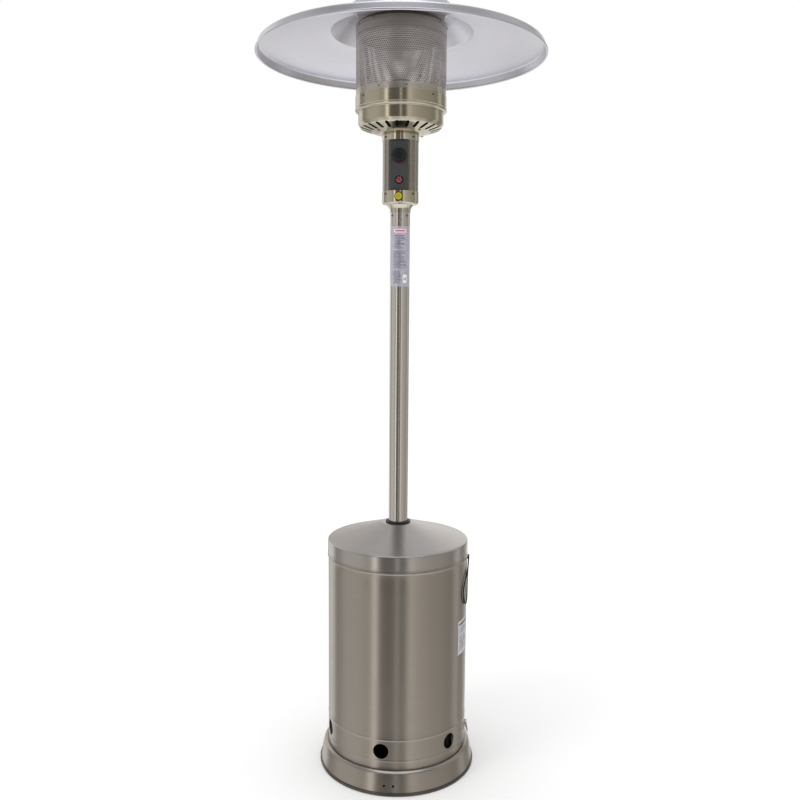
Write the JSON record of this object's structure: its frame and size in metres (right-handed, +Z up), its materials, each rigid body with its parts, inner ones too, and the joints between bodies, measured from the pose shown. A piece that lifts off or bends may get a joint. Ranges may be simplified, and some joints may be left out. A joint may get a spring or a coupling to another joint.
{
  "type": "patio heater",
  "caption": "Free-standing mushroom gas patio heater: round base, lift-up bottle housing, tall post, control box with knob and igniter, perforated emitter and dished reflector.",
  "frame": {"origin": "centre of the base's underside, on the ground", "axes": "+Z up the post; -Y is the front, where the control panel is; +X to the right seen from the front"},
  "size_m": [0.813, 0.813, 2.2135],
  "materials": {
    "brushed_steel": "brushed stainless, faint soft grain",
    "black_frame": "satin black powder coat",
    "zinc_fasteners": "dull plated steel",
    "polished_steel": "polished stainless tube",
    "nickel_plate": "warm nickel plate, mirror finish",
    "burner_steel": "dull stainless",
    "brass": "machined",
    "label_foil": "printed silver foil label",
    "black_plastic": "satin black",
    "yellow_plastic": "gloss yellow",
    "brown_plastic": "satin brown",
    "white_plastic": "satin white",
    "red_plastic": "gloss red",
    "red_wire": "silicone sleeve",
    "ceramic": "glazed",
    "copper": "drawn copper",
    "heat_steel": "heat-proof stainless, slightly darkened",
    "reflector_aluminium": "satin rolled aluminium, rolled edge",
    "black_cord": "smooth black sheath",
    "bright_clip": "bright plated steel"
  },
  "bodies": {
    "stand": {"base_plate": "brushed_steel", "base_pan": "brushed_steel", "strut_right": "black_frame", "strut_rear": "black_frame", "strut_left": "black_frame", "strut_bolts": "zinc_fasteners", "post_flange": "black_frame", "flange_bolts": "zinc_fasteners", "post": "polished_steel", "gas_pipe": "burner_steel", "gas_inlet": "brass", "post_screws": "zinc_fasteners", "post_label": "label_foil", "neck": "nickel_plate", "lower_collar": "nickel_plate", "control_box": "brushed_steel", "upper_collar": "nickel_plate", "control_panel": "black_plastic", "collar_screws": "zinc_fasteners", "yellow_plug": "yellow_plastic", "tilt_switch": "brown_plastic", "gas_valve": "brass", "igniter_body": "white_plastic", "igniter_bezel": "black_plastic", "igniter_lead": "red_wire", "electrode": "ceramic", "thermocouple": "copper", "pilot_tube": "burner_steel", "pilot_burner": "burner_steel", "mixer_tube": "burner_steel", "burner_bowl": "nickel_plate", "bowl_screws": "zinc_fasteners", "head_band": "nickel_plate", "head_screws": "zinc_fasteners", "burner_plate": "burner_steel", "burner_dome": "burner_steel", "emitter_screen": "heat_steel", "emitter_cap": "heat_steel", "emitter_screws": "zinc_fasteners", "baffle": "heat_steel", "spacers": "zinc_fasteners", "studs": "zinc_fasteners", "reflector": "reflector_aluminium", "stud_washers": "zinc_fasteners", "wing_nuts": "zinc_fasteners"},
    "bush": {"lid_bush": "black_plastic"},
    "housing": {"housing_lid": "brushed_steel", "housing_shell": "brushed_steel", "rating_label": "label_foil", "loop_anchor": "black_plastic", "cord_loop": "black_cord", "latch_plate": "bright_clip", "latch_pin": "zinc_fasteners"},
    "latch": {"latch_lever": "bright_clip"},
    "valve_bush": {"valve_bush": "brass"},
    "knob": {"valve_stem": "burner_steel", "knob": "black_plastic"},
    "igniter_button": {"igniter_button": "red_plastic"}
  },
  "joints": [
    {"name": "housing_lift", "type": "slide", "parent": "stand", "child": "bush", "axis": [0, 0, 1], "range_m": [0, 0.86]},
    {"name": "housing_turn", "type": "hinge", "parent": "bush", "child": "housing", "pos_m": [0, 0, 0.7], "axis": [0, 0, 1], "continuous": true},
    {"name": "latch_swing", "type": "hinge", "parent": "housing", "child": "latch", "pos_m": [0.2109, 0, 0.1173], "axis": [0, -1, 0], "range_deg": [0, 110]},
    {"name": "knob_push", "type": "slide", "parent": "stand", "child": "valve_bush", "axis": [0, 1, 0], "range_m": [0, 0.003], "stiffness_N_per_m": 1500},
    {"name": "knob_turn", "type": "hinge", "parent": "valve_bush", "child": "knob", "pos_m": [0, -0.05, 1.7893], "axis": [0, -1, 0], "range_deg": [0, 180]},
    {"name": "igniter_push", "type": "slide", "parent": "stand", "child": "igniter_button", "axis": [0, 1, 0], "range_m": [0, 0.006], "stiffness_N_per_m": 1200}
  ]
}
